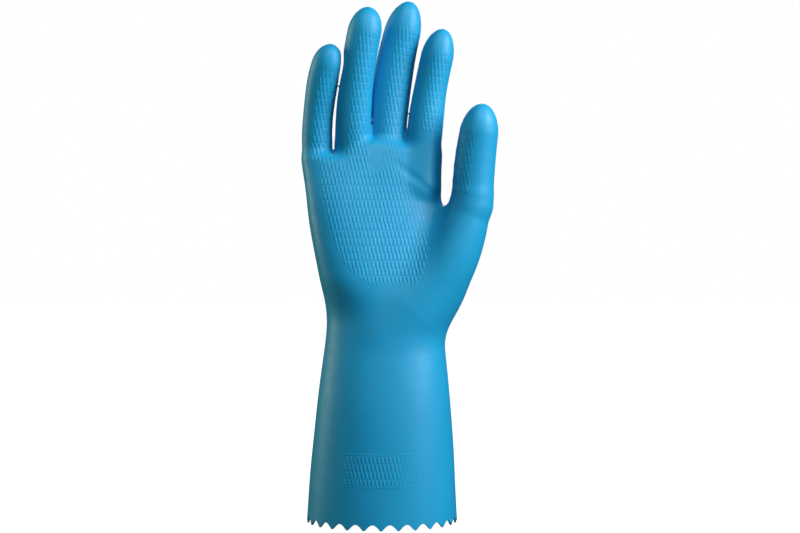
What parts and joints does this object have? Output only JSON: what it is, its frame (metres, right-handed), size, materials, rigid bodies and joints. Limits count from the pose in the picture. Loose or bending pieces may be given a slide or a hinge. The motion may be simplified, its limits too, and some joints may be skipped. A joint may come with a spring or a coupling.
{
  "type": "rubber glove",
  "caption": "Right-hand household rubber glove with a scalloped flared gauntlet, flock lining and a raised grip pattern on palm and fingers; each finger, the thumb and the wrist flex.",
  "frame": {"origin": "centre of the hand opening, in the plane of the scalloped edge's points", "axes": "+Z from the opening towards the fingertips, palm facing -Y, thumb on the +X side"},
  "size_m": [0.122, 0.078, 0.321],
  "materials": {
    "rubber": "satin natural rubber, sky blue",
    "flock": "short cotton flock, pale blue-white"
  },
  "bodies": {
    "gauntlet": {"gauntlet_film": "rubber", "gauntlet_lining": "flock", "wrist_tilt_sleeve": "rubber"},
    "wrist_band": {"wrist_band_film": "rubber", "wrist_band_lining": "flock", "wrist_bend_sleeve": "rubber"},
    "palm": {"palm_film": "rubber", "palm_lining": "flock", "thumb_root_sleeve": "rubber", "index_root_sleeve": "rubber", "middle_root_sleeve": "rubber", "ring_root_sleeve": "rubber", "little_root_sleeve": "rubber"},
    "thumb_base": {"thumb_base_film": "rubber", "thumb_base_lining": "flock", "thumb_joint_sleeve": "rubber"},
    "thumb_tip": {"thumb_tip_film": "rubber", "thumb_tip_lining": "flock"},
    "index_base": {"index_base_film": "rubber", "index_base_lining": "flock", "index_middle_sleeve": "rubber"},
    "index_middle": {"index_middle_film": "rubber", "index_middle_lining": "flock", "index_tip_sleeve": "rubber"},
    "index_tip": {"index_tip_film": "rubber", "index_tip_lining": "flock"},
    "middle_base": {"middle_base_film": "rubber", "middle_base_lining": "flock", "middle_middle_sleeve": "rubber"},
    "middle_middle": {"middle_middle_film": "rubber", "middle_middle_lining": "flock", "middle_tip_sleeve": "rubber"},
    "middle_tip": {"middle_tip_film": "rubber", "middle_tip_lining": "flock"},
    "ring_base": {"ring_base_film": "rubber", "ring_base_lining": "flock", "ring_middle_sleeve": "rubber"},
    "ring_middle": {"ring_middle_film": "rubber", "ring_middle_lining": "flock", "ring_tip_sleeve": "rubber"},
    "ring_tip": {"ring_tip_film": "rubber", "ring_tip_lining": "flock"},
    "little_base": {"little_base_film": "rubber", "little_base_lining": "flock", "little_middle_sleeve": "rubber"},
    "little_middle": {"little_middle_film": "rubber", "little_middle_lining": "flock", "little_tip_sleeve": "rubber"},
    "little_tip": {"little_tip_film": "rubber", "little_tip_lining": "flock"}
  },
  "joints": [
    {"name": "wrist_tilt", "type": "hinge", "parent": "gauntlet", "child": "wrist_band", "pos_m": [0.002, 0, 0.0977], "axis": [0, 1, 0], "range_deg": [-18, 18], "stiffness_Nm_per_rad": 0.6, "deforming": ["wrist_tilt_sleeve"]},
    {"name": "wrist_bend", "type": "hinge", "parent": "wrist_band", "child": "palm", "pos_m": [0.0035, 0, 0.1263], "axis": [1, 0, 0], "range_deg": [-50, 50], "stiffness_Nm_per_rad": 0.4, "deforming": ["wrist_bend_sleeve"]},
    {"name": "thumb_root_flex", "type": "hinge", "parent": "palm", "child": "thumb_base", "pos_m": [0.0553, -0.01657, 0.20981], "axis": [0.8849, -0.4515, -0.1145], "range_deg": [-10, 45], "stiffness_Nm_per_rad": 0.04, "deforming": ["thumb_root_sleeve"]},
    {"name": "thumb_joint_flex", "type": "hinge", "parent": "thumb_base", "child": "thumb_tip", "pos_m": [0.05747, -0.02031, 0.23391], "axis": [0.8765, -0.4448, -0.1839], "range_deg": [0, 60], "stiffness_Nm_per_rad": 0.012, "deforming": ["thumb_joint_sleeve"]},
    {"name": "index_root_flex", "type": "hinge", "parent": "palm", "child": "index_base", "pos_m": [0.02728, -0.00232, 0.24513], "axis": [0.9945, 0, -0.1046], "range_deg": [-15, 75], "stiffness_Nm_per_rad": 0.03, "deforming": ["index_root_sleeve"]},
    {"name": "index_middle_flex", "type": "hinge", "parent": "index_base", "child": "index_middle", "pos_m": [0.03007, -0.0045, 0.26594], "axis": [0.9867, 0, -0.1626], "range_deg": [0, 80], "stiffness_Nm_per_rad": 0.012, "deforming": ["index_middle_sleeve"]},
    {"name": "index_tip_flex", "type": "hinge", "parent": "index_middle", "child": "index_tip", "pos_m": [0.03379, -0.00821, 0.28532], "axis": [0.9763, 0, -0.2163], "range_deg": [0, 60], "stiffness_Nm_per_rad": 0.004, "deforming": ["index_tip_sleeve"]},
    {"name": "middle_root_flex", "type": "hinge", "parent": "palm", "child": "middle_base", "pos_m": [0.00499, 0.00006, 0.25017], "axis": [0.9971, 0, -0.0761], "range_deg": [-15, 75], "stiffness_Nm_per_rad": 0.03, "deforming": ["middle_root_sleeve"]},
    {"name": "middle_middle_flex", "type": "hinge", "parent": "middle_base", "child": "middle_middle", "pos_m": [0.00789, -0.00153, 0.27607], "axis": [0.989, 0, -0.1477], "range_deg": [0, 80], "stiffness_Nm_per_rad": 0.012, "deforming": ["middle_middle_sleeve"]},
    {"name": "middle_tip_flex", "type": "hinge", "parent": "middle_middle", "child": "middle_tip", "pos_m": [0.01221, -0.00542, 0.29951], "axis": [0.9761, 0, -0.2174], "range_deg": [0, 60], "stiffness_Nm_per_rad": 0.004, "deforming": ["middle_tip_sleeve"]},
    {"name": "ring_root_flex", "type": "hinge", "parent": "palm", "child": "ring_base", "pos_m": [-0.01784, -0.00452, 0.24949], "axis": [0.9985, 0, -0.0555], "range_deg": [-15, 75], "stiffness_Nm_per_rad": 0.03, "deforming": ["ring_root_sleeve"]},
    {"name": "ring_middle_flex", "type": "hinge", "parent": "ring_base", "child": "ring_middle", "pos_m": [-0.01554, -0.00799, 0.27413], "axis": [0.9911, 0, -0.1331], "range_deg": [0, 80], "stiffness_Nm_per_rad": 0.012, "deforming": ["ring_middle_sleeve"]},
    {"name": "ring_tip_flex", "type": "hinge", "parent": "ring_middle", "child": "ring_tip", "pos_m": [-0.01173, -0.0119, 0.29626], "axis": [0.9777, 0, -0.2098], "range_deg": [0, 60], "stiffness_Nm_per_rad": 0.004, "deforming": ["ring_tip_sleeve"]},
    {"name": "little_root_flex", "type": "hinge", "parent": "palm", "child": "little_base", "pos_m": [-0.0407, -0.00177, 0.24094], "axis": [0.9983, 0, -0.058], "range_deg": [-15, 68], "stiffness_Nm_per_rad": 0.03, "deforming": ["little_root_sleeve"]},
    {"name": "little_middle_flex", "type": "hinge", "parent": "little_base", "child": "little_middle", "pos_m": [-0.03873, -0.00537, 0.26081], "axis": [0.9895, 0, -0.1444], "range_deg": [0, 80], "stiffness_Nm_per_rad": 0.012, "deforming": ["little_middle_sleeve"]},
    {"name": "little_tip_flex", "type": "hinge", "parent": "little_middle", "child": "little_tip", "pos_m": [-0.03543, -0.0106, 0.27834], "axis": [0.9726, 0, -0.2324], "range_deg": [0, 60], "stiffness_Nm_per_rad": 0.004, "deforming": ["little_tip_sleeve"]}
  ]
}
